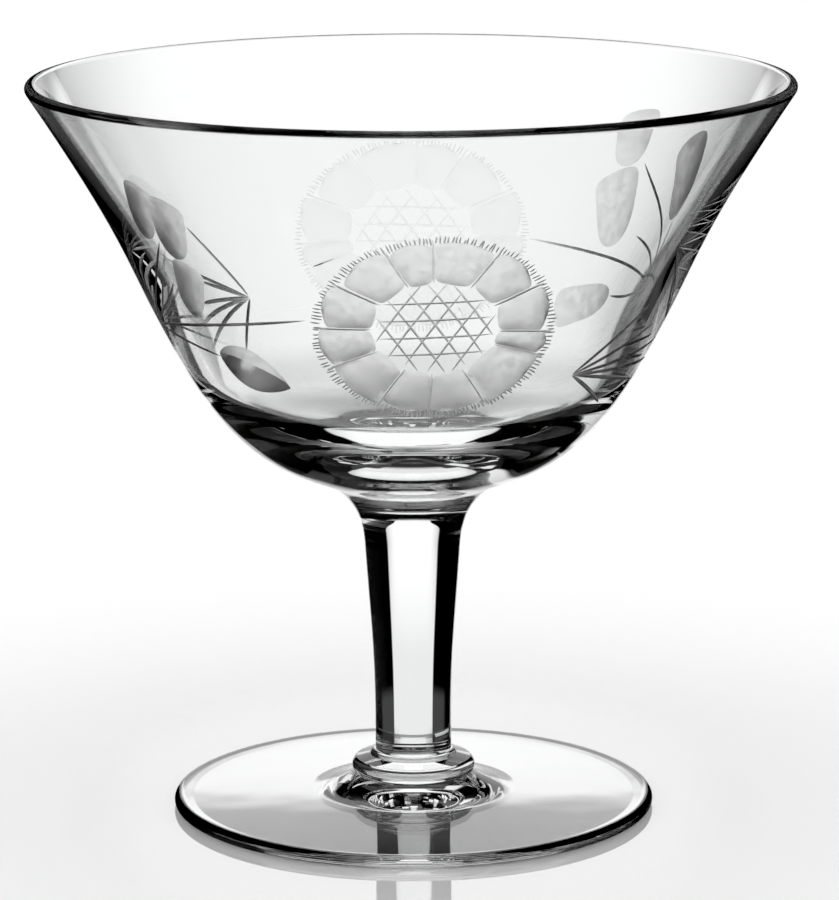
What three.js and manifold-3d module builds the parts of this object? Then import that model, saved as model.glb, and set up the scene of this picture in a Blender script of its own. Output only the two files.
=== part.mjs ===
// Footed sherbet glass in clear glass: a blown bowl, a drawn stem, a stepped collar and a disc foot.
// Millimetres, +Z up, the axis of the glass on Z and the foot standing on the plane z = 0.

import * as THREE from 'three';
import { mergeVertices } from 'three/addons/utils/BufferGeometryUtils.js';
import Module from 'manifold-3d';

// Heights of the welded pieces, which add up to the height of the glass
const footCrownHeight = 4.4;
const collarHeight = 3.4;
const stemLength = 36.4;
const bowlHeight = 57.8;

// Bowl: a round bottom that runs into a flared side
const rimRadius = 52.5;
const rimSlope = 57;
const lipThickness = 1.5;
const bellyRadius = 31.6;
const bellyRise = 18.9;
const bellySlope = 60.8;
const sideThickness = 2.8;
const floorThickness = 10;
const floorRadius = 5;

// Lengths of the tangents that shape the bowl's curves
const rimPull = 27.5;
const sidePull = 17;
const bellyPull = 20;
const weldPull = 5.75;
const innerBellyPull = 8;
const floorPull = 16;

// Weld between the bowl and the stem
const weldRadius = 9.4;
const weldSlope = 48;

// Stem: a slim shank that swells upwards and flares into the bowl
const stemFootRadius = 5.3;
const stemNeckRadius = 6.65;
const stemNeckSlope = 86;
const flareHeight = 7.2;
const shankPull = 14;
const flarePull = 3;

// Collar: a narrow ring under the stem on a wider rounded ring
const collarRadius = 8.6;
const collarSeatRadius = 8;
const collarEdgeHeight = 2.2;
const collarRingRadius = 6;
const collarRingHeight = 0.7;

// Foot: a thin disc with a rounded edge, a crown under the collar and a hollow underside
const footRadius = 33.5;
const footEdgeHeight = 1.8;
const footEdgeBevel = 0.9;
const crownRadius = 14.2;
const crownEdgeHeight = 2.35;
const restInnerRadius = 27;
const restOuterRadius = 32;
const hollowHeight = 0.6;

// Wheel cutting on the outside of the bowl, the work of most skill. Each place is given by degrees round
// from the front towards +X, and by millimetres up the wall from the weld.
const flowers = [
  { turn: 4.8, rise: 42.3, scale: 1 },
  { turn: 180, rise: 40.7, scale: 1.08 },
];
const petalReachAcross = 15.8;
const petalReachUp = 14;
const centreReachAcross = 8.2;
const centreReachUp = 7;
const petalDepth = 0.36;
const petalGap = 0.15;
const petalBulge = 0.7;
const petalKeel = 0.5;

// Directions of the seams between the petals, in degrees about the flower's centre, spaced by hand
const seamDirections = [120, 94, 56, 24, -5, -20, -61, -92, -120, -154, -179, -207];

// Lattice of three families of grooves in the clear centre of a flower
const latticeFamilies = [
  { lean: 2, grooves: 2 },
  { lean: 60, grooves: 3 },
  { lean: -58, grooves: 3 },
];
const latticePitch = 2.85;
const latticeReach = 8.2;
const latticeWidth = 0.5;
const latticeDepth = 0.24;

// Leaves: where the foot and the tip of each lie, and half its width
const leaves = [
  { foot: [-47.8, 35.9], tip: [-29.5, 31.6], half: 3.1 },
  { foot: [-51.5, 41.6], tip: [-46.4, 50.2], half: 3 },
  { foot: [-49.2, 50.6], tip: [-45, 60.8], half: 3.5 },
  { foot: [-56.5, 53.2], tip: [-49.6, 62.6], half: 2.9 },
  { foot: [114.8, 33.5], tip: [136.5, 29.8], half: 3 },
  { foot: [124.5, 40.7], tip: [134, 53.6], half: 4.3 },
  { foot: [131.7, 54.2], tip: [134.5, 63.6], half: 3.8 },
  { foot: [102, 47.5], tip: [116.5, 60.8], half: 3.6 },
];
const leafDepth = 0.4;

// Stalks from the two nodes of the sprays, as curves between their ends
const stalks = [
  [[-76, 37.7], [-54.5, 39.8], [-35.2, 41.6], [-21, 43.2]],
  [[-76, 37.7], [-66, 37.4], [-56, 36.3], [-47.6, 35.4]],
  [[-76, 37.7], [-65, 43], [-58, 48], [-51.8, 53.3]],
  [[-76, 37.7], [-66, 40.5], [-58, 43], [-53.5, 46.8]],
  [[92, 38.3], [102.5, 38], [131.2, 39], [152.3, 40.9]],
  [[92, 38.3], [97, 35.6], [105, 34], [114.8, 33.5]],
  [[92, 38.3], [100, 45], [118, 49], [127.6, 55.5]],
  [[92, 38.3], [99, 41.4], [107, 42], [117.1, 43.4]],
  [[92, 38.3], [95, 41], [98, 44], [102, 47.6]],
];
const stalkWidth = 0.6;
const stalkDepth = 0.3;

// Fans of grooves that spread from a point between a spray and a flower
const fans = [
  {
    apex: [39.6, 32.9],
    tips: [[58.5, 42.4], [66, 38.7], [78, 35], [80, 31.5], [76, 28.4], [57, 26.5]],
  },
  {
    apex: [-130.4, 32],
    tips: [[-92, 43], [-111, 36.4], [-106, 33.5], [-92, 31.4], [-96, 28], [-120.3, 25.8]],
  },
];
const fanWidth = 0.7;
const fanDepth = 0.36;

// Height that each cutter keeps above the glass
const cutterRise = 0.3;
const cutterClearance = 0.08;

// Facets round the axis, and steps along one curve of an outline
const roundFacets = 72;
const shankFacets = 40;
const curveSteps = 7;
const innerSteps = 5;
const bendSteps = 3;
const arcSteps = 4;

// Facets across a cut, and rings along it
const scoopFacets = 6;
const scoopRings = 5;
const grooveFacets = 4;
const grooveRings = 4;
const stalkRings = 6;

const footBase = 0;
const collarBase = footBase + footCrownHeight;
const stemBase = collarBase + collarHeight;
const bowlBase = stemBase + stemLength;
const glassTop = bowlBase + bowlHeight;

const mergeDistance = 1e-5;

const wasm = await Module();
wasm.setup();

const clearGlass = { color: 0xf4f7f6, roughness: 0.03, metalness: 0 };

function heading(degrees) {
  const angle = THREE.MathUtils.degToRad(degrees);
  return new THREE.Vector2(Math.cos(angle), Math.sin(angle));
}

function along(point, direction, length) {
  return point.clone().addScaledVector(direction, length);
}

function curveTo(path, firstPull, lastPull, end) {
  path.bezierCurveTo(firstPull.x, firstPull.y, lastPull.x, lastPull.y, end.x, end.y);
}

// Points of an outline, each of its curves cut into its own number of steps
function outlinePoints(path, stepsOfCurve) {
  const points = [];
  path.curves.forEach((curve, i) => {
    const steps = stepsOfCurve(curve, i);
    const start = points.length ? 1 : 0;
    points.push(...curve.getPoints(steps).slice(start));
  });
  return points;
}

function stepsOf(curve) {
  if (curve.isLineCurve) return 1;
  if (curve.isQuadraticBezierCurve) return bendSteps;
  return curve.isEllipseCurve ? arcSteps : curveSteps;
}

// Steps of the bowl's outline, where the curves after the lip shape the inside
function stepsOfBowl(curve, i) {
  return i > 3 && curve.isCubicBezierCurve ? innerSteps : stepsOf(curve);
}

// Solid of revolution about Z from an outline of radius and height that starts and ends on the axis
function turned(path, facets, stepsOfCurve = stepsOf) {
  const geometry = new THREE.LatheGeometry(outlinePoints(path, stepsOfCurve), facets);
  geometry.rotateX(Math.PI / 2);
  return geometry;
}

// Solid of a closed geometry, without the triangles that shrink to nothing on the axis
function solidOf(geometry) {
  geometry.deleteAttribute('normal');
  geometry.deleteAttribute('uv');
  const merged = mergeVertices(geometry, mergeDistance);
  const corners = merged.index.array;
  const triangles = [];
  for (let i = 0; i < corners.length; i += 3) {
    const [a, b, c] = corners.slice(i, i + 3);
    if (a !== b && b !== c && c !== a) triangles.push(a, b, c);
  }
  const vertProperties = merged.attributes.position.array;
  const triVerts = Uint32Array.from(triangles);
  return new wasm.Manifold(new wasm.Mesh({ numProp: 3, vertProperties, triVerts }));
}

function geometryOf(solid) {
  const mesh = solid.getMesh();
  const geometry = new THREE.BufferGeometry();
  geometry.setAttribute('position', new THREE.BufferAttribute(mesh.vertProperties, 3));
  geometry.setIndex(new THREE.BufferAttribute(mesh.triVerts, 1));
  geometry.computeVertexNormals();
  return geometry;
}

// Wall of the bowl as cut: points of its outer outline, with how far up the wall each one lies
function wallOf(points) {
  const rises = [0];
  for (let i = 1; i < points.length; i += 1) {
    rises.push(rises[i - 1] + points[i].distanceTo(points[i - 1]));
  }
  return { points, rises };
}

function stepOfWall(wall, rise) {
  const above = wall.rises.findIndex((r) => r > rise);
  return above < 0 ? wall.rises.length - 2 : Math.max(0, above - 1);
}

function radiusOfWall(wall, rise) {
  const i = stepOfWall(wall, rise);
  const share = (rise - wall.rises[i]) / (wall.rises[i + 1] - wall.rises[i]);
  return THREE.MathUtils.lerp(wall.points[i].x, wall.points[i + 1].x, share);
}

// Place on the faceted outside of the wall, lifted off it
function placeOnWall(wall, turn, rise, lift) {
  const i = stepOfWall(wall, rise);
  const start = wall.points[i];
  const slope = wall.points[i + 1].clone().sub(start).normalize();
  const spot = along(start, slope, rise - wall.rises[i]);
  spot.add(new THREE.Vector2(slope.y, -slope.x).multiplyScalar(lift));
  const angle = THREE.MathUtils.degToRad(turn);
  const halfFacet = Math.PI / roundFacets;
  const inFacet = THREE.MathUtils.euclideanModulo(angle, 2 * halfFacet) - halfFacet;
  const radius = spot.x * Math.cos(halfFacet) / Math.cos(inFacet);
  return new THREE.Vector3(radius * Math.sin(angle), -radius * Math.cos(angle), spot.y);
}

// One cut: a ball drawn out along its path on the wall, of the given half width at each share of the path
function wheelCut(wall, path, halfWidth, depth, facets, rings, keel = 1, bulge = 0) {
  const ball = new THREE.SphereGeometry(1, facets, rings);
  ball.deleteAttribute('normal');
  ball.deleteAttribute('uv');
  const cutter = mergeVertices(ball, mergeDistance);
  const position = cutter.attributes.position;
  const spot = new THREE.Vector3();
  for (let i = 0; i < position.count; i += 1) {
    spot.fromBufferAttribute(position, i);
    const share = THREE.MathUtils.clamp((1 + spot.y) / 2, 0, 1);
    const ring = Math.hypot(spot.x, spot.z);
    const across = ring > mergeDistance ? spot.x / ring : 0;
    const up = ring > mergeDistance ? spot.z / ring : 0;
    const middle = path.getPoint(share);
    const radius = radiusOfWall(wall, middle.y);
    const run = path.getTangent(share);
    run.set(THREE.MathUtils.degToRad(run.x) * radius, run.y).normalize();
    const half = halfWidth(share);
    const side = half * across;
    const back = bulge * across * across * share;
    const turn = middle.x + THREE.MathUtils.radToDeg((run.y * side - run.x * back) / radius);
    const rise = middle.y - run.x * side - run.y * back;
    const deep = depth * Math.min(1, half / halfWidth(0.5)) * (1 - Math.abs(across)) ** keel;
    const lift = up > mergeDistance ? cutterRise * up : -deep * Math.sign(ring);
    const place = placeOnWall(wall, turn, rise, lift + cutterClearance);
    position.setXYZ(i, place.x, place.y, place.z);
  }
  return solidOf(cutter);
}

function lineOf(start, end) {
  return new THREE.LineCurve(new THREE.Vector2(...start), new THREE.Vector2(...end));
}

function grooveWidth(width) {
  return (share) => width / 2 * Math.sqrt(Math.max(0, 1 - Math.abs(2 * share - 1) ** 4));
}

// Distance from a flower's centre to an oval about it, in one direction
function ovalReach(direction, reachAcross, reachUp) {
  const aim = heading(direction);
  return 1 / Math.hypot(aim.x / reachAcross, aim.y / reachUp);
}

function flowerSpot(wall, flower, offset) {
  const rise = flower.rise + flower.scale * offset.y;
  const turn = THREE.MathUtils.radToDeg(flower.scale * offset.x / radiusOfWall(wall, rise));
  return [flower.turn + turn, rise];
}

function flowerCuts(wall, flower) {
  const cuts = [];
  seamDirections.forEach((first, i) => {
    const last = i + 1 < seamDirections.length ? seamDirections[i + 1] : seamDirections[0] - 360;
    const direction = (first + last) / 2;
    const spread = Math.tan(THREE.MathUtils.degToRad((first - last) / 2));
    const near = ovalReach(direction, centreReachAcross, centreReachUp);
    const far = ovalReach(direction, petalReachAcross, petalReachUp);
    const petalWidth = (share) => {
      const rounding = share > 0.5 ? 7 : 20;
      const ends = Math.max(0, 1 - Math.abs(2 * share - 1) ** rounding);
      return flower.scale * (THREE.MathUtils.lerp(near, far, share) * spread - petalGap) * Math.cbrt(ends);
    };
    const foot = flowerSpot(wall, flower, heading(direction).multiplyScalar(near));
    const tip = flowerSpot(wall, flower, heading(direction).multiplyScalar(far));
    const path = lineOf(foot, tip);
    cuts.push(wheelCut(wall, path, petalWidth, petalDepth, scoopFacets, scoopRings, petalKeel, petalBulge));
  });
  latticeFamilies.forEach(({ lean, grooves }) => {
    for (let i = 0; i < grooves; i += 1) {
      const away = (i - (grooves - 1) / 2) * latticePitch;
      const half = Math.sqrt(Math.max(latticePitch, latticeReach ** 2 - away ** 2));
      const middle = heading(lean + 90).multiplyScalar(away);
      const start = flowerSpot(wall, flower, along(middle, heading(lean), -half));
      const end = flowerSpot(wall, flower, along(middle, heading(lean), half));
      const path = lineOf(start, end);
      cuts.push(wheelCut(wall, path, grooveWidth(latticeWidth), latticeDepth, grooveFacets, grooveRings));
    }
  });
  return cuts;
}

function sprayCuts(wall) {
  const cuts = [];
  leaves.forEach(({ foot, tip, half }) => {
    const leafWidth = (share) => {
      const ends = Math.max(0, 1 - Math.abs(2 * share - 1) ** 3.5);
      return 1.25 * half * THREE.MathUtils.lerp(0.55, 1, share) * ends ** 0.55;
    };
    cuts.push(wheelCut(wall, lineOf(foot, tip), leafWidth, leafDepth, scoopFacets, scoopRings));
  });
  stalks.forEach((places) => {
    const path = new THREE.CubicBezierCurve(...places.map((place) => new THREE.Vector2(...place)));
    cuts.push(wheelCut(wall, path, grooveWidth(stalkWidth), stalkDepth, grooveFacets, stalkRings));
  });
  fans.forEach(({ apex, tips }) => {
    tips.forEach((tip) => {
      const path = lineOf(apex, tip);
      cuts.push(wheelCut(wall, path, grooveWidth(fanWidth), fanDepth, grooveFacets, grooveRings));
    });
  });
  return cuts;
}

function bowlGeometry() {
  const weld = new THREE.Vector2(weldRadius, bowlBase);
  const belly = new THREE.Vector2(bellyRadius, bowlBase + bellyRise);
  const lipRadius = lipThickness / 2;
  const lip = new THREE.Vector2(rimRadius - lipRadius, glassTop - lipRadius);
  const rimHeading = heading(rimSlope);
  const bellyHeading = heading(bellySlope);
  const outerRim = along(lip, heading(rimSlope - 90), lipRadius);
  const innerRim = along(lip, heading(rimSlope + 90), lipRadius);
  const innerBelly = along(belly, heading(bellySlope + 90), sideThickness);
  const floorEdge = new THREE.Vector2(floorRadius, bowlBase + floorThickness);

  const path = new THREE.Path();
  path.moveTo(0, bowlBase);
  path.lineTo(weld.x, weld.y);
  curveTo(path, along(weld, heading(weldSlope), weldPull), along(belly, bellyHeading, -bellyPull), belly);
  curveTo(path, along(belly, bellyHeading, sidePull), along(outerRim, rimHeading, -rimPull), outerRim);
  const lipStart = THREE.MathUtils.degToRad(rimSlope - 90);
  path.absarc(lip.x, lip.y, lipRadius, lipStart, lipStart + Math.PI);
  const innerRimPull = along(innerRim, rimHeading, -rimPull);
  curveTo(path, innerRimPull, along(innerBelly, bellyHeading, sidePull), innerBelly);
  const floorStart = along(floorEdge, heading(0), floorPull);
  curveTo(path, along(innerBelly, bellyHeading, -innerBellyPull), floorStart, floorEdge);
  path.lineTo(0, floorEdge.y);

  const wall = wallOf(outlinePoints(path, stepsOfBowl).slice(1, 2 + 2 * curveSteps));
  const cuts = [...flowers.flatMap((flower) => flowerCuts(wall, flower)), ...sprayCuts(wall)];
  const blank = solidOf(turned(path, roundFacets, stepsOfBowl));
  return geometryOf(blank.subtract(cuts.reduce((joined, cut) => joined.add(cut))));
}

function stemGeometry() {
  const foot = new THREE.Vector2(stemFootRadius, stemBase);
  const neck = new THREE.Vector2(stemNeckRadius, bowlBase - flareHeight);
  const weld = new THREE.Vector2(weldRadius, bowlBase);
  const neckHeading = heading(stemNeckSlope);

  const path = new THREE.Path();
  path.moveTo(0, stemBase);
  path.lineTo(foot.x, foot.y);
  curveTo(path, along(foot, heading(90), shankPull), along(neck, neckHeading, -shankPull), neck);
  curveTo(path, along(neck, neckHeading, flarePull), along(weld, heading(weldSlope), -flarePull), weld);
  path.lineTo(0, bowlBase);
  return turned(path, shankFacets);
}

function collarGeometry() {
  const edgeTop = new THREE.Vector2(collarSeatRadius, collarBase + collarEdgeHeight);
  const ringFoot = new THREE.Vector2(collarRingRadius, stemBase - collarRingHeight);
  const edgeMiddle = collarBase + collarEdgeHeight / 2;
  const edgeReach = 2 * collarRadius - collarSeatRadius;

  const path = new THREE.Path();
  path.moveTo(0, collarBase);
  path.lineTo(collarSeatRadius, collarBase);
  path.quadraticCurveTo(edgeReach, edgeMiddle, edgeTop.x, edgeTop.y);
  path.lineTo(ringFoot.x, ringFoot.y);
  path.quadraticCurveTo(collarRingRadius, stemBase, stemFootRadius, stemBase);
  path.lineTo(0, stemBase);
  return turned(path, shankFacets);
}

function footGeometry() {
  const path = new THREE.Path();
  path.moveTo(0, footBase + hollowHeight);
  path.quadraticCurveTo(restInnerRadius / 2, footBase + hollowHeight, restInnerRadius, footBase);
  path.lineTo(restOuterRadius, footBase);
  path.quadraticCurveTo(footRadius, footBase, footRadius, footBase + footEdgeBevel);
  path.quadraticCurveTo(footRadius, footBase + footEdgeHeight, restOuterRadius, footBase + footEdgeHeight);
  path.lineTo(crownRadius, footBase + crownEdgeHeight);
  path.quadraticCurveTo(collarRadius, footBase + crownEdgeHeight, collarSeatRadius, collarBase);
  path.lineTo(0, collarBase);
  return turned(path, roundFacets);
}

function piece(name, geometry) {
  const mesh = new THREE.Mesh(geometry, new THREE.MeshStandardMaterial(clearGlass));
  mesh.name = name;
  return mesh;
}

const sherbetGlass = new THREE.Group();
sherbetGlass.add(piece('foot', footGeometry()));
sherbetGlass.add(piece('foot_collar', collarGeometry()));
sherbetGlass.add(piece('stem', stemGeometry()));
sherbetGlass.add(piece('bowl', bowlGeometry()));

export default sherbetGlass;
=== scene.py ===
import math
import random

import bmesh
import bpy
from mathutils import Matrix, Vector
from mathutils.geometry import interpolate_bezier


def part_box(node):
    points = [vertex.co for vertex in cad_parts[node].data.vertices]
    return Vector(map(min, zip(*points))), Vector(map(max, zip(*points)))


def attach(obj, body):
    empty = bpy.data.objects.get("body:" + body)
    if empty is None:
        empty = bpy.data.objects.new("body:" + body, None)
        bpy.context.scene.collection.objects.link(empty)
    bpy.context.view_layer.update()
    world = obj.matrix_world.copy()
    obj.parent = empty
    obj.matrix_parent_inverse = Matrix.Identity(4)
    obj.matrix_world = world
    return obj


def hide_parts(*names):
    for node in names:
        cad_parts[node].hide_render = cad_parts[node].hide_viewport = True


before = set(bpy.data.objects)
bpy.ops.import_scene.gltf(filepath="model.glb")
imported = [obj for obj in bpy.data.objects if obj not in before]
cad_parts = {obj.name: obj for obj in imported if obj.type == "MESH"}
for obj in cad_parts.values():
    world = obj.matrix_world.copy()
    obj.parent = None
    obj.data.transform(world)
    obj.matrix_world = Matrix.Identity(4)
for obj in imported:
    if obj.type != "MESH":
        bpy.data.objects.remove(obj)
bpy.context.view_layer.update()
toMetres = 0.001   # the script works in millimetres


def linearColour(hexCode):
    channels = [int(hexCode[i:i + 2], 16) / 255 for i in (1, 3, 5)]
    return [c / 12.92 if c <= 0.04045 else ((c + 0.055) / 1.055) ** 2.4 for c in channels] + [1]


# Settings are named as the node names them, or numbered as its sockets are.
# Links are named as the sockets are, or in0, in1 and so on by number.
def addNode(tree, kind, settings=None, **links):
    node = tree.nodes.new("ShaderNode" + kind)
    for name, value in (settings or {}).items():
        if isinstance(name, str) and hasattr(node, name):
            setattr(node, name, value)
        else:
            node.inputs[name].default_value = value
    for name, source in links.items():
        numbered = name[:2] == "in" and name[2:].isdigit()
        socket = int(name[2:]) if numbered else name.replace("_", " ")
        source = source if isinstance(source, bpy.types.NodeSocket) else source.outputs[0]
        tree.links.new(source, node.inputs[socket])
    return node


# Settings that several nodes share
times, plus, larger = ({"operation": name} for name in ("MULTIPLY", "ADD", "MAXIMUM"))
inDegrees, fromOne = {"operation": "DEGREES"}, {"operation": "SUBTRACT", 0: 1}


# Settings of a Map Range that steps smoothly from one level to another
def step(start, end, low=0, high=1):
    return {"interpolation_type": "SMOOTHSTEP", 1: start, 2: end, 3: low, 4: high}


def between(tree, value, low, high, fade):
    rise = addNode(tree, "MapRange", step(low - fade, low + fade), in0=value)
    fall = addNode(tree, "MapRange", step(high - fade, high + fade, 1, 0), in0=value)
    return addNode(tree, "Math", times, in0=rise, in1=fall)


def emptyMaterial(process):
    material = bpy.data.materials.new(process)
    material.use_nodes = True
    material.node_tree.nodes.clear()
    return material, material.node_tree


def addMesh(name, shape, materials):
    mesh = bpy.data.meshes.new(name)
    shape.to_mesh(mesh)
    shape.free()
    for material in materials:
        mesh.materials.append(material)
    thing = bpy.data.objects.new(name, mesh)
    bpy.context.collection.objects.link(thing)
    return thing


studio = {
    "white": "#FFFFFF", "bounces": 14,   # light runs far inside the glass before it comes out
    "tableStart": -62, "tableEnd": -72, "tableLevel": 0.9,   # seen straight down through the glass
    "panels": {   # place and reach in degrees, share of white, and whether mirrored light sees it
        "table behind": {
            "toward": 0, "halfWidth": 24, "edge": 10,
            "low": -100, "high": -24, "fade": 6, "level": 0.18, "mirrored": False},
        "table": {
            "toward": 0, "halfWidth": 70, "edge": 10,
            "low": -100, "high": -34, "fade": 8, "level": 0.08, "mirrored": False},
        "table aside": {
            "toward": 0, "halfWidth": 45, "edge": 4,
            "low": -30, "high": -13.3, "fade": 0.5, "level": 0.06, "mirrored": False},
        "left side": {
            "toward": 90, "halfWidth": 18, "edge": 1.2,
            "low": -16, "high": 14, "fade": 4, "level": 1, "mirrored": False},
        "left corner": {
            "toward": 45, "halfWidth": 18, "edge": 1.2,
            "low": -42, "high": -19, "fade": 3, "level": 1, "mirrored": False},
        "front corner": {
            "toward": 225, "halfWidth": 21, "edge": 1.2,
            "low": -30, "high": 30, "fade": 5, "level": 1, "mirrored": False},
        "left mirrored": {
            "toward": 90, "halfWidth": 18, "edge": 3,
            "low": -1, "high": 14, "fade": 2, "level": 1, "mirrored": True},
        "front corner mirrored": {
            "toward": 225, "halfWidth": 18, "edge": 3,
            "low": 8, "high": 26, "fade": 3, "level": 1, "mirrored": True},
    },
}


# White to the camera and on matt surfaces; the glass sees dark with a panel here and there
def lightStudio():
    world = bpy.data.worlds.new("studio_panels")
    bpy.context.scene.world = world
    world.use_nodes = True
    tree = world.node_tree
    tree.nodes.clear()
    direction = addNode(tree, "TexCoord").outputs["Generated"]
    x, y, z = addNode(tree, "SeparateXYZ", in0=direction).outputs
    left = addNode(tree, "Math", {"operation": "MULTIPLY", 1: -1}, in0=x)
    turn = addNode(tree, "Math", {"operation": "ARCTAN2"}, in0=left, in1=y)
    turn = addNode(tree, "Math", inDegrees, in0=turn)
    rise = addNode(tree, "Math", {"operation": "ARCSINE"}, in0=z)
    rise = addNode(tree, "Math", inDegrees, in0=rise)
    path = addNode(tree, "LightPath").outputs
    light = addNode(tree, "Math", {"operation": "MAXIMUM", "use_clamp": True},
                    in0=path["Is Camera Ray"], in1=path["Diffuse Depth"])
    unmirrored = addNode(tree, "Math", fromOne, in1=path["Is Reflection Ray"])
    for panel in studio["panels"].values():
        offset = addNode(tree, "Math", {"operation": "SUBTRACT", 1: panel["toward"]}, in0=turn)
        offset = addNode(tree, "Math", {"operation": "WRAP", 1: 180, 2: -180}, in0=offset)
        across = between(tree, offset, -panel["halfWidth"], panel["halfWidth"], panel["edge"])
        upright = between(tree, rise, panel["low"], panel["high"], panel["fade"])
        share = addNode(tree, "Math", times, in0=across, in1=upright)
        share = addNode(tree, "Math", {"operation": "MULTIPLY", 1: panel["level"]}, in0=share)
        if not panel["mirrored"]:
            share = addNode(tree, "Math", times, in0=share, in1=unmirrored)
        light = addNode(tree, "Math", larger, in0=light, in1=share)
    # light that has only gone through the glass sees the table below it
    direct = addNode(tree, "Math", {"operation": "LESS_THAN", 1: 0.5}, in0=path["Glossy Depth"])
    table = step(studio["tableEnd"], studio["tableStart"], studio["tableLevel"], 0)
    table = addNode(tree, "Math", times, in0=addNode(tree, "MapRange", table, in0=rise), in1=direct)
    light = addNode(tree, "Math", larger, in0=light, in1=table)
    white = linearColour(studio["white"])
    background = addNode(tree, "Background", {"Color": white}, Strength=light)
    addNode(tree, "OutputWorld", Surface=background)
    paths = bpy.context.scene.cycles
    paths.max_bounces = paths.transmission_bounces = studio["bounces"]
    paths.glossy_bounces = paths.transparent_max_bounces = studio["bounces"]
    print("studio lit by", len(studio["panels"]), "panels")


sheetReach = 300   # half the side of a hung sheet, of which only the lit or grey part shows


def hangSheet(name, distance, process):
    shape = bmesh.new()
    bmesh.ops.create_grid(shape, x_segments=1, y_segments=1, size=sheetReach * toMetres)
    bmesh.ops.rotate(shape, verts=shape.verts, matrix=Matrix.Rotation(math.pi / 2, 3, "X"))
    bmesh.ops.translate(shape, verts=shape.verts, vec=(0, distance * toMetres, 0))
    material, tree = emptyMaterial(process)
    sheet = addMesh(name, shape, [material])
    place = addNode(tree, "TexCoord").outputs["Object"]
    place = addNode(tree, "VectorMath", {"operation": "SCALE", "Scale": 1 / toMetres}, in0=place)
    place = addNode(tree, "SeparateXYZ", in0=place).outputs
    aside = addNode(tree, "Math", {"operation": "ABSOLUTE"}, in0=place["X"])
    print(name, "hung", distance, "mm behind the glass")
    return tree, aside, place["Z"]


# The sheets show in the glass and in the polished floor only: the camera looks past them
# at plain white
def showInGlass(tree, light, cover):
    path = addNode(tree, "LightPath").outputs
    inGlass = addNode(tree, "Math", larger,
                      in0=path["Is Transmission Ray"], in1=path["Is Glossy Ray"])
    seen = addNode(tree, "Math", times, in0=inGlass, in1=cover)
    glow = addNode(tree, "Emission", {"Color": linearColour(studio["white"])}, Strength=light)
    clear = addNode(tree, "BsdfTransparent")
    surface = addNode(tree, "MixShader", in0=seen, in1=clear, in2=glow)
    addNode(tree, "OutputMaterial", Surface=surface)


backdrop = {"distance": 190, "level": 1.12, "darkest": 0.001,
            "halfWidth": 75, "edge": 3, "low": -105, "high": 250, "fade": 15,
            "leanLow": 60, "leanHigh": 120, "lean": 28,   # it narrows upwards
            # its upper sides are dimmed; its lower corners hold a painted shadow of the bowl on the
            # table
            "dimStart": 44, "dimEnd": 90, "dimLow": 0, "dimFade": 18, "dimming": 0.5,
            "shadowInner": 46, "shadowEdge": 4, "shadowTop": -46, "shadowFade": 5, "shadowing": 0.9,
            # two heights, and the share of its light that is left below them
            "shades": [(-18, 8, 0.82), (-95, -38, 0.25)]}


# A diffuser lit from behind: soft white that fills the clear glass and fades at its edges;
# its lower corners hold a painted shadow
def addBackdrop():
    tree, aside, z = hangSheet("backdrop", backdrop["distance"], "backdrop_diffuser_lit_painted_shadow")
    lean = step(backdrop["leanLow"], backdrop["leanHigh"], 0, backdrop["lean"])
    lean = addNode(tree, "MapRange", lean, in0=z)
    leaning = addNode(tree, "Math", plus, in0=aside, in1=lean)
    half, edge = backdrop["halfWidth"], backdrop["edge"]
    wide = step(half - edge, half + edge, backdrop["level"], 0)
    wide = addNode(tree, "MapRange", wide, in0=leaning)
    tall = between(tree, z, backdrop["low"], backdrop["high"], backdrop["fade"])
    light = addNode(tree, "Math", times, in0=wide, in1=tall)
    sides = step(backdrop["dimStart"], backdrop["dimEnd"], 0, backdrop["dimming"])
    sides = addNode(tree, "MapRange", sides, in0=aside)
    low, fade = backdrop["dimLow"], backdrop["dimFade"]
    upper = addNode(tree, "MapRange", step(low - fade, low + fade), in0=z)
    dim = addNode(tree, "Math", times, in0=sides, in1=upper)
    # Painted shadow: the lower corners are darkened to stand for the bowl's shadow on the table,
    # seen through the front of the foot
    inner, edge = backdrop["shadowInner"], backdrop["shadowEdge"]
    corners = step(inner - edge, inner + edge, 0, backdrop["shadowing"])
    corners = addNode(tree, "MapRange", corners, in0=aside)
    top, fade = backdrop["shadowTop"], backdrop["shadowFade"]
    lower = addNode(tree, "MapRange", step(top - fade, top + fade, 1, 0), in0=z)
    paintedShadow = addNode(tree, "Math", times, in0=corners, in1=lower)
    lost = addNode(tree, "Math", larger, in0=dim, in1=paintedShadow)
    kept = addNode(tree, "Math", fromOne, in1=lost)
    light = addNode(tree, "Math", times, in0=light, in1=kept)
    for low, high, share in backdrop["shades"]:
        shade = addNode(tree, "MapRange", step(low, high, share, 1), in0=z)
        light = addNode(tree, "Math", times, in0=light, in1=shade)
    cover = addNode(tree, "Math", {"operation": "GREATER_THAN", 1: backdrop["darkest"]}, in0=light)
    showInGlass(tree, light, cover)


# The card's glow is painted shade: a dim sheet seen only in the glass and in the floor's gloss
card = {"distance": 120, "halfWidth": 46, "edge": 4, "top": -33, "fade": 5, "level": 0.08,
        "lower": 0.02, "lowerTop": -38, "lowerFade": 12}


# A grey card in front of the lower backdrop that glows at a low set level, darker towards the
# bottom:
# painted shade that greys the front of the foot and the floor of the bowl
def addCard():
    tree, aside, z = hangSheet("card", card["distance"], "card_painted_shade")
    half, edge, top = card["halfWidth"], card["edge"], card["top"]
    wide = addNode(tree, "MapRange", step(half - edge, half + edge, 1, 0), in0=aside)
    tall = addNode(tree, "MapRange", step(top - card["fade"], top, 1, 0), in0=z)
    cover = addNode(tree, "Math", times, in0=wide, in1=tall)
    lowerTop = card["lowerTop"]
    light = step(lowerTop - card["lowerFade"], lowerTop, card["lower"], card["level"])
    showInGlass(tree, addNode(tree, "MapRange", light, in0=z), cover)


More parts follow.
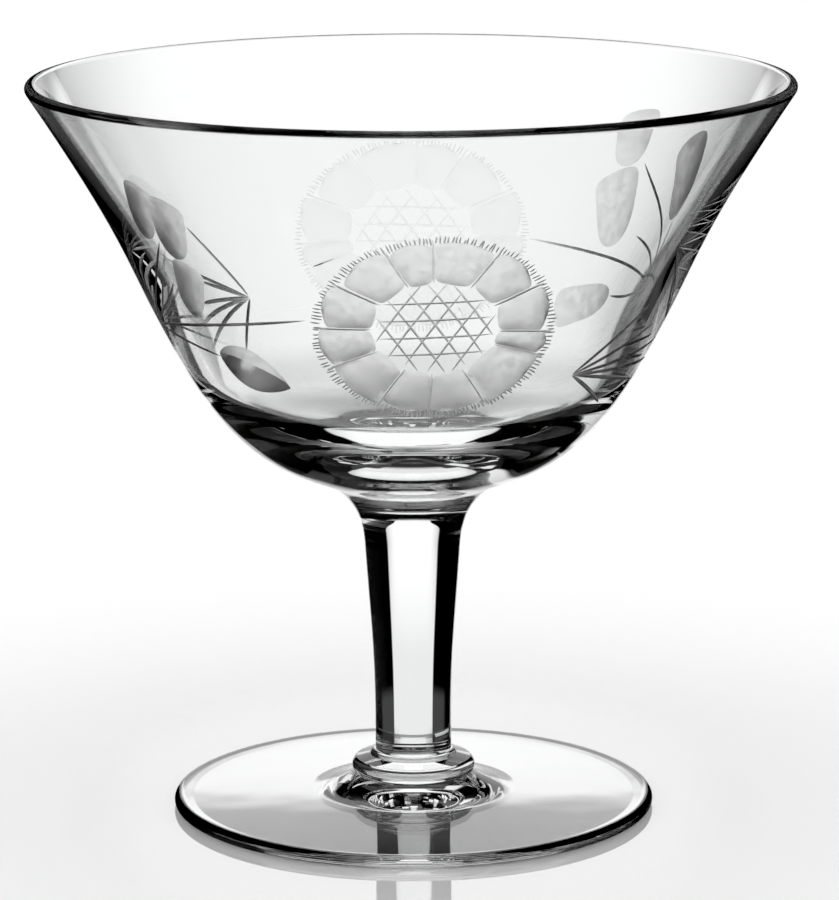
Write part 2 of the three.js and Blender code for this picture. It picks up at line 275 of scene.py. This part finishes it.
tableTop = {"radius": 20000, "facets": 96, "drop": 0.02,
            "colour": "#F8F8F8", "gloss": "#EBEBEB", "roughness": 0.03,
            "mirrorStart": 36, "mirrorEnd": 52, "mirrorOval": (1, 0.7, 1),   # the mirror's reach
            "grazeStart": 0.55, "grazeEnd": 0.8, "mirrorShare": 0.7,   # how flat a look it takes
            "whiteStart": 60, "whiteEnd": 140}   # from here on it turns to plain white


# White acrylic sheet with a gloss: pale, with a soft mirror image of the foot and the stem
# close to the glass
def addFloor():
    shape = bmesh.new()
    bmesh.ops.create_circle(shape, cap_ends=True, segments=tableTop["facets"],
                            radius=tableTop["radius"] * toMetres)
    bmesh.ops.translate(shape, verts=shape.verts, vec=(0, 0, -tableTop["drop"] * toMetres))
    material, tree = emptyMaterial("white_acrylic_sheet_gloss")
    floor = addMesh("floor", shape, [material])
    place = addNode(tree, "TexCoord").outputs["Object"]
    place = addNode(tree, "VectorMath", {"operation": "SCALE", "Scale": 1 / toMetres}, in0=place)
    reach = addNode(tree, "VectorMath", {"operation": "LENGTH"}, in0=place).outputs["Value"]
    oval = {"operation": "MULTIPLY", 1: tableTop["mirrorOval"]}
    oval = addNode(tree, "VectorMath", oval, in0=place)
    oval = addNode(tree, "VectorMath", {"operation": "LENGTH"}, in0=oval).outputs["Value"]
    near = step(tableTop["mirrorStart"], tableTop["mirrorEnd"], 1, 0)
    near = addNode(tree, "MapRange", near, in0=oval)
    facing = addNode(tree, "LayerWeight").outputs["Facing"]
    grazing = step(tableTop["grazeStart"], tableTop["grazeEnd"], 0, tableTop["mirrorShare"])
    grazing = addNode(tree, "MapRange", grazing, in0=facing)
    mirror = addNode(tree, "Math", times, in0=grazing, in1=near)
    sheet = addNode(tree, "BsdfDiffuse", {"Color": linearColour(tableTop["colour"])})
    gloss = addNode(tree, "BsdfGlossy", {"Color": linearColour(tableTop["gloss"]),
                                         "Roughness": tableTop["roughness"]})
    glossed = addNode(tree, "MixShader", in0=mirror, in1=sheet, in2=gloss)
    clear = addNode(tree, "BsdfTransparent")
    path = addNode(tree, "LightPath").outputs
    inGlass = addNode(tree, "Math", larger,
                      in0=path["Is Transmission Ray"], in1=path["Is Glossy Ray"])
    surface = addNode(tree, "MixShader", in0=inGlass, in1=glossed, in2=clear)
    far = addNode(tree, "MapRange", step(tableTop["whiteStart"], tableTop["whiteEnd"]), in0=reach)
    far = addNode(tree, "Math", times, in0=far, in1=path["Is Camera Ray"])
    white = addNode(tree, "Emission", {"Color": linearColour(studio["white"])})
    surface = addNode(tree, "MixShader", in0=far, in1=surface, in2=white)
    addNode(tree, "OutputMaterial", Surface=surface)
    print("floor laid")


viewpoint = {
    "distance": 628.9,
    "height": 182.49,
    "lookDown": 11.87,
    "lookRight": 0.09,
    "tilt": 0.185,
    "focalPixels": 4646.6,
    "imageHeight": 900,
    "sensorHeight": 24,
}


def addCamera():
    data = bpy.data.cameras.new("camera")
    data.sensor_fit = "VERTICAL"
    data.sensor_height = viewpoint["sensorHeight"]
    data.lens = (viewpoint["focalPixels"] * viewpoint["sensorHeight"]
                 / viewpoint["imageHeight"])
    camera = bpy.data.objects.new("camera", data)
    bpy.context.collection.objects.link(camera)
    stand = Vector((0, -viewpoint["distance"], viewpoint["height"])) * toMetres
    camera.matrix_world = (Matrix.Translation(stand)
                           @ Matrix.Rotation(-math.radians(viewpoint["lookRight"]), 4, "Z")
                           @ Matrix.Rotation(math.radians(90 - viewpoint["lookDown"]), 4, "X")
                           @ Matrix.Rotation(-math.radians(viewpoint["tilt"]), 4, "Z"))
    bpy.context.scene.camera = camera
    print("camera set")


glass = {"ior": 1.52, "cordTints": ("#FCFDFD", "#FFFFFF"), "cutColour": "#FFFFFF",
         "cutGrain": 1.3,   # the stone's own marks are too fine to show, so they are drawn coarser
         "cutGrainSpread": (0.3, 0.7), "cutRoughness": (0.34, 0.5)}


# Furnace glass finished in the flame: quite clear, with faint cords in it, and on the hand-tooled
# pieces slow waves that make the edges of the light behind them wander
def clearGlass(piece):
    material, tree = emptyMaterial(piece["process"])
    place = addNode(tree, "TexCoord").outputs["Object"]
    cords = {"Scale": 1 / (piece["waveLength"] * toMetres), "Detail": 1}
    cords = addNode(tree, "TexNoise", cords, Vector=place)
    first, second = (linearColour(tint) for tint in glass["cordTints"])
    tint = addNode(tree, "Mix", {"data_type": "RGBA", 6: first, 7: second}, in0=cords).outputs[2]
    shader = {"Roughness": 0, "IOR": glass["ior"], "Transmission Weight": 1}
    shader = addNode(tree, "BsdfPrincipled", shader, Base_Color=tint)
    if piece["waveHeight"]:
        waves = {"Strength": 1, "Distance": piece["waveHeight"] * toMetres}
        waves = addNode(tree, "Bump", waves, Height=cords)
        tree.links.new(waves.outputs[0], shader.inputs["Normal"])
    addNode(tree, "OutputMaterial", Surface=shader)
    return material


# Cuts left grey from the stone wheel: they blur the light behind them, here more and there less
def cutGlass():
    material, tree = emptyMaterial("glass_wheel_cut_grey")
    place = addNode(tree, "TexCoord").outputs["Object"]
    grain = {"Scale": 1 / (glass["cutGrain"] * toMetres), "Detail": 4}
    grain = addNode(tree, "TexNoise", grain, Vector=place)
    (fine, coarse), (smoothest, roughest) = glass["cutGrainSpread"], glass["cutRoughness"]
    rough = {1: fine, 2: coarse, 3: smoothest, 4: roughest}
    rough = addNode(tree, "MapRange", rough, in0=grain)
    shader = {"Base Color": linearColour(glass["cutColour"]), "IOR": glass["ior"],
              "Transmission Weight": 1}
    shader = addNode(tree, "BsdfPrincipled", shader, Roughness=rough)
    addNode(tree, "OutputMaterial", Surface=shader)
    return material


# Two gathers welded hot run into one another, so the eye sees no face between them
def weldedGlass():
    material, tree = emptyMaterial("glass_weld_fused")
    addNode(tree, "OutputMaterial", Surface=addNode(tree, "BsdfTransparent"))
    return material


def heading(degrees):
    return Vector((math.cos(math.radians(degrees)), 0, math.sin(math.radians(degrees))))


def point(radius, height):
    return Vector((radius, 0, height))


def curve(start, firstPull, lastPull, end, steps=20):
    return interpolate_bezier(start, firstPull, lastPull, end, steps + 1)[1:]


# A rounded corner: the pulls two thirds of the way to it make a plain quadratic curve
def bend(start, corner, end, steps=8):
    return curve(start, start.lerp(corner, 2 / 3), end.lerp(corner, 2 / 3), end, steps)


turning = {"hold": 0.08, "merge": 0.0001, "weldGap": 0.0005}


# A straight run, held by a ring close to each end so that its shading stays flat
def straight(start, end):
    hold = turning["hold"] / (end - start).length
    return [start, start.lerp(end, hold), end.lerp(start, hold), end]


def turnedShape(outline, turns):
    shape = bmesh.new()
    corners = [shape.verts.new(p) for p in outline]
    edges = [shape.edges.new(pair) for pair in zip(corners, corners[1:])]
    bmesh.ops.spin(shape, geom=corners + edges, cent=(0, 0, 0), axis=(0, 0, 1), angle=math.tau,
                   steps=turns, use_merge=True)
    bmesh.ops.remove_doubles(shape, verts=shape.verts, dist=turning["merge"])
    bmesh.ops.recalc_face_normals(shape, faces=shape.faces)
    for face in shape.faces:
        face.smooth = True
    return shape


def markWelds(shape, heights):
    for face in shape.faces:
        for height in heights:
            if all(abs(v.co.z - height) < turning["weldGap"] for v in face.verts):
                face.material_index = 1
    for edge in shape.edges:
        if len({face.material_index for face in edge.link_faces}) > 1:
            edge.smooth = False


def finishPiece(shape, node, materials):
    bmesh.ops.scale(shape, verts=shape.verts, vec=(toMetres,) * 3)
    piece = addMesh(node + "_glass", shape, materials)
    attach(piece, "root")
    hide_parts(node)
    print(node, "made with", len(piece.data.polygons), "faces")
    return piece


def boxOf(node):
    low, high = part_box(node)
    return Vector(low) / toMetres, Vector(high) / toMetres


bowl = {"rimSlope": 57, "rimPull": 27.5, "rimHold": 0.95,
        "lipThickness": 1.5, "lipSteps": 20, "lipHold": 0.1,
        "bellyRadius": 31.6, "bellyRise": 18.9, "bellySlope": 60.8, "bellyPull": 20,
        "innerBellyPull": 8, "sideThickness": 2.8, "sidePull": 17,
        "floorThickness": 10, "floorRadius": 5, "floorPull": 16,
        "weldRadius": 9.4, "weldSlope": 48, "weldPull": 5.75, "turns": 256,
        "process": "glass_blown_fire_polished", "waveLength": 16, "waveHeight": 0}


def bowlOutline():
    low, high = boxOf("bowl")
    base, top, rimRadius = low.z, high.z, high.x
    lipRadius = bowl["lipThickness"] / 2
    weld = point(bowl["weldRadius"], base)
    belly = point(bowl["bellyRadius"], base + bowl["bellyRise"])
    lip = point(rimRadius - lipRadius, top - lipRadius)
    rimHeading, bellyHeading = heading(bowl["rimSlope"]), heading(bowl["bellySlope"])
    outerRim = lip + lipRadius * heading(bowl["rimSlope"] - 90)
    innerRim = lip + lipRadius * heading(bowl["rimSlope"] + 90)
    innerBelly = belly + bowl["sideThickness"] * heading(bowl["bellySlope"] + 90)
    floor = point(0, base + bowl["floorThickness"])
    floorEdge = point(bowl["floorRadius"], floor.z)
    outline = [point(0, base), weld]
    outline += curve(weld, weld + bowl["weldPull"] * heading(bowl["weldSlope"]),
                     belly - bowl["bellyPull"] * bellyHeading, belly)
    outline += curve(belly, belly + bowl["sidePull"] * bellyHeading,
                     outerRim - bowl["rimPull"] * rimHeading, outerRim)
    outline.insert(-1, outline[-2].lerp(outline[-1], bowl["rimHold"]))
    lipTurns = [180 * i / bowl["lipSteps"] - 90 for i in range(1, bowl["lipSteps"] + 1)]
    outline += [lip + lipRadius * heading(bowl["rimSlope"] + lipTurn) for lipTurn in lipTurns]
    outline += [innerRim - bowl["lipHold"] * rimHeading]
    outline += curve(innerRim, innerRim - bowl["rimPull"] * rimHeading,
                     innerBelly + bowl["sidePull"] * bellyHeading, innerBelly)
    outline += curve(innerBelly, innerBelly - bowl["innerBellyPull"] * bellyHeading,
                     point(bowl["floorRadius"] + bowl["floorPull"], floor.z), floorEdge)
    return outline + [point(bowl["floorRadius"] / 2, floor.z), floor]


outerWall = slice(1, 43)   # the points of the bowl's outline from the weld up to the rim


def bowlSurface():
    outer = bowlOutline()[outerWall]
    rises = [0]
    for before, after in zip(outer, outer[1:]):
        rises.append(rises[-1] + (after - before).length)
    return outer, rises


def placeOn(surface, turn, rise, lift):
    outer, rises = surface
    i = max(0, min(len(outer) - 2, sum(1 for r in rises if r <= rise) - 1))
    share = (rise - rises[i]) / (rises[i + 1] - rises[i])
    spot = outer[i].lerp(outer[i + 1], share)
    slope = (outer[i + 1] - outer[i]).normalized()
    spot += lift * Vector((slope.z, 0, -slope.x))
    angle = math.radians(turn)
    return Vector((spot.x * math.sin(angle), -spot.x * math.cos(angle), spot.z)), spot.x


cutter = {"pathSteps": 32, "pathAhead": 0.01, "pole": 0.0001, "runOut": 4,
          "above": 0.3, "lift": 0.02}   # how far it stands out of the wall


def followPath(path, share):
    if len(path) == 2:
        return [a + (b - a) * share for a, b in zip(*path)]
    steps = cutter["pathSteps"]
    spots = interpolate_bezier(*[Vector((a, b, 0)) for a, b in path], steps + 1)
    i = min(steps - 1, int(share * steps))
    spot = spots[i].lerp(spots[i + 1], share * steps - i)
    return [spot.x, spot.y]


# One cut: a ball drawn out along its path, of the given width and depth at each share of the path
def addCut(shape, surface, path, width, depth, mesh, keel=1, bulge=0):
    ball = bmesh.ops.create_uvsphere(shape, u_segments=mesh[0], v_segments=mesh[1], radius=1)
    for v in ball["verts"]:
        share = (1 + v.co.z) / 2
        ring = math.hypot(v.co.x, v.co.y)
        across, down = (v.co.x / ring, v.co.y / ring) if ring > cutter["pole"] else (0, 0)
        turn, rise = followPath(path, share)
        ahead = followPath(path, min(1, share + cutter["pathAhead"]))
        behind = followPath(path, max(0, share - cutter["pathAhead"]))
        radius = placeOn(surface, turn, rise, 0)[1]
        run = Vector((math.radians(ahead[0] - behind[0]) * radius, ahead[1] - behind[1]))
        run.normalize()
        side = width(share) * across
        back = bulge * across * across * share
        move = Vector((run.y * side - run.x * back, -run.x * side - run.y * back))
        deep = depth * (1 - abs(2 * share - 1) ** cutter["runOut"])
        lift = -deep * (1 - abs(across) ** keel) if down <= 0 else cutter["above"] * down
        turn += math.degrees(move.x / radius)
        v.co = placeOn(surface, turn, rise + move.y, lift + cutter["lift"])[0]
    for face in {f for v in ball["verts"] for f in v.link_faces}:
        face.smooth = True


# Wheel cuts, placed by degrees round from the front and millimetres up the outside from the weld
cuts = {
    "hand": 4,   # seed of the unevenness of handwork, the same on every run
    "flowers": [{"turn": 4.8, "rise": 42.3, "size": 1, "depth": 1},
                {"turn": 180, "rise": 41.2, "size": 1.12, "depth": 0.85}],
    "petal": {"reach": (15.8, 14), "innerReach": (8.2, 7), "depth": 0.28, "gap": 0.1, "bulge": 0.7,
              "keel": 2.5, "outerEnd": 12, "innerEnd": 20, "mesh": (16, 16)},
    "seams": [120, 94, 56, 24, -5, -20, -61, -92, -120, -154, -179, -207],
    "seam": {"width": 0.6, "depth": 0.11, "sway": 0.5, "swayAt": (0.33, 0.67), "overrun": 0.6,
             "mesh": (4, 8)},
    "tick": {"count": 168, "width": 0.34, "depth": 0.085, "start": -0.9, "end": 0.5, "uneven": 0.5,
             "strayed": 0.3, "lean": 1.6, "mesh": (4, 5), "groups": 2},
    "lattice": {"rows": [(2, 4), (60, 5), (-58, 5)],   # lean and number of grooves
                "pitch": 2.85, "strayed": 0.3, "reach": 8.2, "leastReach": 2, "shortest": 0.95,
                "uneven": 0.15, "squash": 0.93, "width": 0.4, "depth": 0.088, "mesh": (4, 10)},
    "leaf": {"mesh": (12, 18), "groups": 2, "tipEnd": 9, "baseEnd": 3.2, "baseWidth": 0.72,
             "swell": 1.06, "pointedSwell": 1.18, "pointed": 0.8},
    "leaves": [   # base, tip, half the width, depth, how flat it is ground, whether it is pointed
        ((-47.8, 35.9), (-29.5, 31.6), 3.1, 0.95, 1, True),
        ((-51.5, 41.6), (-46.4, 50.2), 3.0, 0.42, 1.2, False),
        ((-49.2, 50.6), (-45.0, 60.8), 3.5, 0.42, 1.2, False),
        ((-56.5, 53.2), (-49.6, 62.6), 2.9, 0.36, 1.2, False),
        ((114.8, 33.5), (136.5, 29.8), 3.0, 0.24, 2.5, False),
        ((124.5, 40.7), (134.0, 53.6), 4.3, 0.24, 2.5, False),
        ((131.7, 54.2), (134.5, 63.6), 3.8, 0.22, 2.5, False),
        ((102.0, 47.5), (116.5, 60.8), 3.6, 0.34, 1.6, False)],
    "stalk": {"width": 0.5, "depth": 0.2, "mesh": (4, 20), "groups": 5},
    "stalks": [
        [(-76, 37.7), (-54.5, 39.8), (-35.2, 41.6), (-21, 43.2)],
        [(-76, 37.7), (-66, 37.4), (-56, 36.3), (-47.6, 35.4)],
        [(-76, 37.7), (-65, 43), (-58, 48), (-51.8, 53.3)],
        [(-76, 37.7), (-66, 40.5), (-58, 43), (-53.5, 46.8)],
        [(92, 38.3), (102.5, 38), (131.2, 39), (152.3, 40.9)],
        [(92, 38.3), (97, 35.6), (105, 34), (114.8, 33.5)],
        [(92, 38.3), (100, 45), (118, 49), (127.6, 55.5)],
        [(92, 38.3), (99, 41.4), (107, 42), (117.1, 43.4)],
        [(92, 38.3), (95, 41), (98, 44), (102, 47.6)]],
    "fan": {"width": 0.65, "depth": 0.24, "mesh": (4, 14)},
    "fans": [   # the point of each fan and the ends of its grooves
        ((39.6, 32.9), [(58.5, 42.4), (66, 38.7), (78, 35), (80, 31.5), (76, 28.4), (57, 26.5)]),
        ((-130.4, 32), [(-92, 43), (-111, 36.4), (-106, 33.5), (-92, 31.4), (-96, 28),
                        (-120.3, 25.8), (-118.6, 45.1)])],
}


def makeCutters():
    surface = bowlSurface()
    hand = random.Random(cuts["hand"])
    groups = {}
    kinds = ("petal", "seam", "tick", "lattice", "leaf")
    petal, seam, tick, lattice, leaf = (cuts[kind] for kind in kinds)

    # Cuts of one group lie clear of each other, so that each group is taken away in one step
    def group(name):
        if name not in groups:
            groups[name] = bmesh.new()
        return groups[name]

    def groove(name, kind, path, depthShare=1):
        width, depth, mesh = (cuts[kind][size] for size in ("width", "depth", "mesh"))

        def grooveWidth(share):
            return width / 2 * (1 - abs(2 * share - 1) ** cutter["runOut"]) ** 0.5
        addCut(group(name), surface, path, grooveWidth, depth * depthShare, mesh)

    def reachAt(flower, angle, reach):
        along, up = math.cos(math.radians(angle)), math.sin(math.radians(angle))
        return flower["size"] / math.hypot(along / reach[0], up / reach[1])

    def spot(flower, angle, reach, further=0):
        distance = further + reachAt(flower, angle, reach)
        rise = flower["rise"] + math.sin(math.radians(angle)) * distance
        aside = math.cos(math.radians(angle)) * distance
        return flower["turn"] + math.degrees(aside / placeOn(surface, 0, rise, 0)[1]), rise

    inner, outer = petal["innerReach"], petal["reach"]
    for flower in cuts["flowers"]:
        for first, last in zip(cuts["seams"], cuts["seams"][1:] + [cuts["seams"][0] - 360]):
            middle, half = (first + last) / 2, math.radians((first - last) / 2)
            near, far = reachAt(flower, middle, inner), reachAt(flower, middle, outer)

            def petalWidth(share):
                sharp = petal["outerEnd"] if share > 0.5 else petal["innerEnd"]
                widest = (near + (far - near) * share) * math.tan(half) - petal["gap"]
                return widest * max(0, 1 - abs(2 * share - 1) ** sharp) ** (1 / 3)
            ends = [spot(flower, middle, inner), spot(flower, middle, outer)]
            addCut(group("petals"), surface, ends, petalWidth, petal["depth"], petal["mesh"],
                   keel=petal["keel"], bulge=petal["bulge"])
            ends = [spot(flower, first, inner), spot(flower, first, outer, seam["overrun"])]
            sway = [[a + (b - a) * share + seam["sway"] * (hand.random() - 0.5)
                     for a, b in zip(*ends)] for share in seam["swayAt"]]
            groove("seams", "seam", [ends[0], *sway, ends[1]], flower["depth"])
        for i in range(tick["count"]):
            angle = 360 * (i + tick["strayed"] * hand.random()) / tick["count"]
            start = tick["start"] + tick["uneven"] * hand.random()
            end = tick["end"] + tick["uneven"] * hand.random()
            lean = tick["lean"] * (hand.random() - 0.5)
            ends = [spot(flower, angle, outer, start), spot(flower, angle + lean, outer, end)]
            groove("ticks%d" % (i % tick["groups"]), "tick", ends, flower["depth"])
        for row, (lean, count) in enumerate(lattice["rows"]):
            flat, steep = math.cos(math.radians(lean)), math.sin(math.radians(lean))
            for i in range(count):
                away = flower["size"] * (i - (count - 1) / 2) * lattice["pitch"]
                away += lattice["strayed"] * (hand.random() - 0.5)
                reach = (lattice["reach"] * flower["size"]) ** 2 - away ** 2
                half = math.sqrt(max(lattice["leastReach"] ** 2, reach))
                half *= lattice["shortest"] + lattice["uneven"] * hand.random()
                ends = [(flat * k - steep * away, steep * k + flat * away) for k in (-half, half)]
                path = []
                for aside, up in ends:
                    radius = placeOn(surface, 0, flower["rise"] + up, 0)[1]
                    path.append((flower["turn"] + math.degrees(aside / radius),
                                 flower["rise"] + lattice["squash"] * up))
                groove("lattice%d" % row, "lattice", path, flower["depth"])
    for number, (base, tip, half, depth, keel, pointed) in enumerate(cuts["leaves"]):
        def leafWidth(share):
            if pointed:
                swell = math.sin(math.pi * share ** leaf["pointed"]) ** leaf["pointed"]
                return half * leaf["pointedSwell"] * swell
            end = leaf["tipEnd"] if share > 0.5 else leaf["baseEnd"]
            widening = leaf["baseWidth"] + (1 - leaf["baseWidth"]) * share
            return half * widening * leaf["swell"] * max(0, 1 - abs(2 * share - 1) ** end) ** 0.5
        addCut(group("leaves%d" % (number % leaf["groups"])), surface, [base, tip], leafWidth,
               depth, leaf["mesh"], keel=keel)
    for number, path in enumerate(cuts["stalks"]):
        groove("stalks%d" % (number % cuts["stalk"]["groups"]), "stalk", path)
    for apex, tips in cuts["fans"]:
        for number, tip in enumerate(tips):
            groove("fans%d" % number, "fan", [apex, tip])
    return groups


finishing = {"skinGap": 0.06, "crease": 0.5}   # millimetres off the uncut outside, and radians


# The uncut outside is shaded as the smooth wall it was before the cuts split its faces
def smoothOutside(mesh):
    outer = bowlSurface()[0]
    slopes = [(after - before).normalized() for before, after in zip(outer, outer[1:])]
    slopes = [slopes[0]] + [(a + b).normalized() for a, b in zip(slopes, slopes[1:])] + [slopes[-1]]
    normals = [Vector()] * len(mesh.loops)
    for face in mesh.polygons:
        if face.material_index:
            continue
        for k in face.loop_indices:
            spot = mesh.vertices[mesh.loops[k].vertex_index].co / toMetres
            i = max(0, min(len(outer) - 2, sum(1 for p in outer if p.z <= spot.z) - 1))
            share = (spot.z - outer[i].z) / (outer[i + 1].z - outer[i].z)
            radius = math.hypot(spot.x, spot.y)
            onSkin = abs(radius - outer[i].lerp(outer[i + 1], share).x) < finishing["skinGap"]
            if 0 <= share <= 1 and onSkin:
                slope = slopes[i].lerp(slopes[i + 1], share).normalized()
                normals[k] = Vector((slope.z * spot.x / radius, slope.z * spot.y / radius,
                                     -slope.x))
    mesh.normals_split_custom_set(normals)


# Flakes of glass that the cuts have freed fall away
def dropCrumbs(shape):
    islands, waiting = [], set(shape.verts)
    while waiting:
        island, reached = [], [waiting.pop()]
        while reached:
            island.append(reached.pop())
            beside = {edge.other_vert(island[-1]) for edge in island[-1].link_edges} & waiting
            waiting -= beside
            reached += beside
        islands.append(island)
    islands.sort(key=len)
    bmesh.ops.delete(shape, geom=[v for island in islands[:-1] for v in island], context="VERTS")
    print("bowl lost", len(islands) - 1, "flakes")


def cutBowl(shape, finishes):
    clear, weld, cut = finishes
    blank = addMesh("bowl_uncut", shape, [clear, weld])
    cutters = []
    for name, group in makeCutters().items():
        if group.calc_volume(signed=True) < 0:
            bmesh.ops.reverse_faces(group, faces=group.faces)
        cutters.append(addMesh(name, group, [cut]))
        away = blank.modifiers.new(name, "BOOLEAN")
        away.operation, away.solver, away.material_mode = "DIFFERENCE", "MANIFOLD", "TRANSFER"
        away.object = cutters[-1]
    bpy.context.view_layer.update()
    ready = blank.evaluated_get(bpy.context.evaluated_depsgraph_get())
    shape = bmesh.new()
    shape.from_mesh(ready.to_mesh())
    ready.to_mesh_clear()
    print("bowl cut with", len(cutters), "groups of cuts, now", len(shape.faces), "faces")
    for thing in [blank] + cutters:
        bpy.data.objects.remove(thing)
    dropCrumbs(shape)
    for edge in shape.edges:
        finishesBeside = {face.material_index for face in edge.link_faces}
        if len(finishesBeside) > 1 or edge.calc_face_angle(0) > finishing["crease"]:
            edge.smooth = False
    return shape


stem = {"neckRadius": 6.65, "neckSlope": 86, "flareHeight": 7.2, "flarePull": 3, "shankPull": 14,
        "footRadius": 5.3, "turns": 128,
        "process": "glass_drawn_fire_polished", "waveLength": 9, "waveHeight": 0.012}


def stemOutline():
    low, high = boxOf("stem")
    base = point(stem["footRadius"], low.z)
    neck = point(stem["neckRadius"], high.z - stem["flareHeight"])
    weld = point(bowl["weldRadius"], high.z)
    neckHeading = heading(stem["neckSlope"])
    outline = [point(0, low.z), base]
    outline += curve(base, base + stem["shankPull"] * heading(90),
                     neck - stem["shankPull"] * neckHeading, neck)
    outline += curve(neck, neck + stem["flarePull"] * neckHeading,
                     weld - stem["flarePull"] * heading(bowl["weldSlope"]), weld)
    return outline + [point(0, high.z)]


collar = {"radius": 8.6, "seatRadius": 8, "edgeHeight": 2.2, "ringRadius": 6, "ringHeight": 0.7,
          "turns": 128, "process": "glass_tooled_hot", "waveLength": 5, "waveHeight": 0.01}


def collarOutline():
    low, high = boxOf("foot_collar")
    seat = point(collar["seatRadius"], low.z)
    edgeTop = point(collar["seatRadius"], low.z + collar["edgeHeight"])
    edgeReach = point(2 * collar["radius"] - collar["seatRadius"], low.z + collar["edgeHeight"] / 2)
    ringBase = point(collar["ringRadius"], high.z - collar["ringHeight"])
    stemBase = point(stem["footRadius"], high.z)
    outline = [point(0, low.z), seat] + bend(seat, edgeReach, edgeTop)
    outline += straight(edgeTop, ringBase)[1:]
    outline += bend(ringBase, point(collar["ringRadius"], high.z), stemBase)
    return outline + [point(0, high.z)]


foot = {"edgeHeight": 1.8, "edgeBevel": 0.9,
        "crownRadius": 14.2, "crownEdgeHeight": 2.35, "crownPull": 11.5, "crownSag": 2.5,
        "restInnerRadius": 30.8, "restOuterRadius": 32, "hollowHeight": 0.58, "hollowRadius": 12,
        "turns": 192,
        "process": "glass_cast_fire_polished", "waveLength": 13, "waveHeight": 0.03}


def footOutline():
    low, high = boxOf("foot")
    hollow = point(foot["hollowRadius"], low.z + foot["hollowHeight"])
    restInner = point(foot["restInnerRadius"], low.z)
    restOuter = point(foot["restOuterRadius"], low.z)
    edge = point(high.x, low.z + foot["edgeBevel"])
    edgeTop = point(foot["restOuterRadius"], low.z + foot["edgeHeight"])
    crown = point(foot["crownRadius"], low.z + foot["crownEdgeHeight"])
    seat = point(collar["seatRadius"], high.z)
    outline = [point(0, hollow.z)] + straight(hollow, restInner)
    outline += straight(restInner, restOuter)[1:]
    outline += bend(restOuter, point(edge.x, low.z), edge)
    outline += bend(edge, point(edge.x, edgeTop.z), edgeTop)
    outline += straight(edgeTop, crown)[1:]
    outline += bend(crown, point(foot["crownPull"], low.z + foot["crownSag"]), seat)
    return outline + [point(0, high.z)]


def makeGlass():
    weld, cut = weldedGlass(), cutGlass()
    for node, slot, settings, outline in (("bowl", "bowl_glass", bowl, bowlOutline()),
                                          ("stem", "stem_glass", stem, stemOutline()),
                                          ("foot_collar", "collar_glass", collar, collarOutline()),
                                          ("foot", "foot_glass", foot, footOutline())):
        finishes = [clearGlass(settings), weld, cut]
        shape = turnedShape(outline, settings["turns"])
        low, high = boxOf(node)
        heights = ([low.z] if node != "foot" else []) + ([high.z] if node != "bowl" else [])
        markWelds(shape, heights)
        if node == "bowl":
            shape = cutBowl(shape, finishes)
        piece = finishPiece(shape, node, finishes)
        if node == "bowl":
            smoothOutside(piece.data)


bpy.context.scene.view_settings.view_transform = "Standard"
lightStudio()
addFloor()
addBackdrop()
addCard()
addCamera()
makeGlass()
